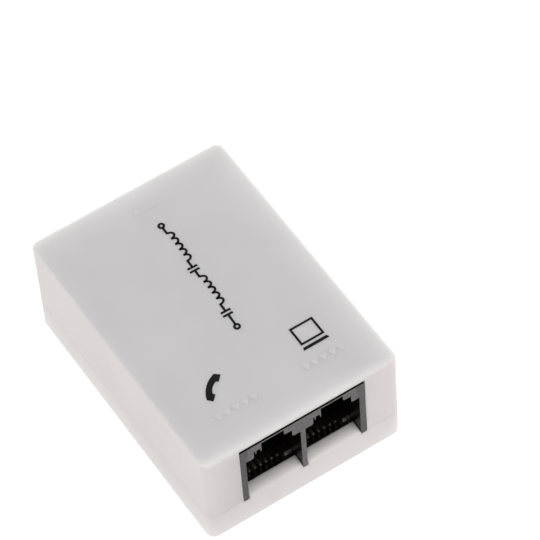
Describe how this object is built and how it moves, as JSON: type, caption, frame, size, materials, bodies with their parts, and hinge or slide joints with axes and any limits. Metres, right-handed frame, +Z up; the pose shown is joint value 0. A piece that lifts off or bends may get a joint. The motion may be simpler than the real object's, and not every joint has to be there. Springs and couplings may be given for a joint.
{
  "type": "dsl filter",
  "caption": "Small oblong two-part plastic case with side-by-side modular jacks in its front wall and one in its back wall, round a board with a low-pass filter.",
  "frame": {"origin": "middle of the flat underside of the case", "axes": "+Z up through the roof; the two outlet jacks face -Y and the line jack faces +Y; +X is to the right when looking at the outlet jacks"},
  "size_m": [0.0356, 0.0508, 0.0212],
  "materials": {
    "abs_shell": "fine matt moulded ABS",
    "jack_black": "matt spark-textured black nylon",
    "carrier_black": "smooth black polyester",
    "board": "glass-fibre laminate with green solder mask",
    "contact_gold": "thin gold plate, dull from use",
    "ferrite": "ground ferrite",
    "bobbin_black": "moulded phenolic",
    "winding_copper": "enamelled copper wire",
    "film_case": "dipped epoxy",
    "disc_case": "dipped epoxy",
    "resistor_body": "lacquered carbon film",
    "tinned_wire": "tinned copper"
  },
  "bodies": {
    "root": {"bottom_tray": "abs_shell", "circuit_board": "board", "disc_capacitor": "disc_case", "disc_capacitor_lead_1": "tinned_wire", "disc_capacitor_lead_2": "tinned_wire", "left_choke_bobbin": "bobbin_black", "left_choke_core_left": "ferrite", "left_choke_core_right": "ferrite", "left_choke_pin_1": "tinned_wire", "left_choke_pin_2": "tinned_wire", "left_choke_pin_3": "tinned_wire", "left_choke_pin_4": "tinned_wire", "left_choke_winding": "winding_copper", "left_film_capacitor": "film_case", "left_film_capacitor_lead_1": "tinned_wire", "left_film_capacitor_lead_2": "tinned_wire", "left_outlet_carrier": "carrier_black", "left_outlet_contact_1": "contact_gold", "left_outlet_contact_2": "contact_gold", "left_outlet_contact_3": "contact_gold", "left_outlet_contact_4": "contact_gold", "left_outlet_contact_5": "contact_gold", "left_outlet_contact_6": "contact_gold", "left_resistor": "resistor_body", "left_resistor_lead_1": "tinned_wire", "left_resistor_lead_2": "tinned_wire", "line_carrier": "carrier_black", "line_contact_1": "contact_gold", "line_contact_2": "contact_gold", "line_contact_3": "contact_gold", "line_contact_4": "contact_gold", "line_contact_5": "contact_gold", "line_contact_6": "contact_gold", "line_jack": "jack_black", "outlet_jack": "jack_black", "right_choke_bobbin": "bobbin_black", "right_choke_core_left": "ferrite", "right_choke_core_right": "ferrite", "right_choke_pin_1": "tinned_wire", "right_choke_pin_2": "tinned_wire", "right_choke_pin_3": "tinned_wire", "right_choke_pin_4": "tinned_wire", "right_choke_winding": "winding_copper", "right_film_capacitor": "film_case", "right_film_capacitor_lead_1": "tinned_wire", "right_film_capacitor_lead_2": "tinned_wire", "right_outlet_carrier": "carrier_black", "right_outlet_contact_1": "contact_gold", "right_outlet_contact_2": "contact_gold", "right_outlet_contact_3": "contact_gold", "right_outlet_contact_4": "contact_gold", "right_outlet_contact_5": "contact_gold", "right_outlet_contact_6": "contact_gold", "right_resistor": "resistor_body", "right_resistor_lead_1": "tinned_wire", "right_resistor_lead_2": "tinned_wire", "top_cover": "abs_shell"}
  },
  "joints": []
}
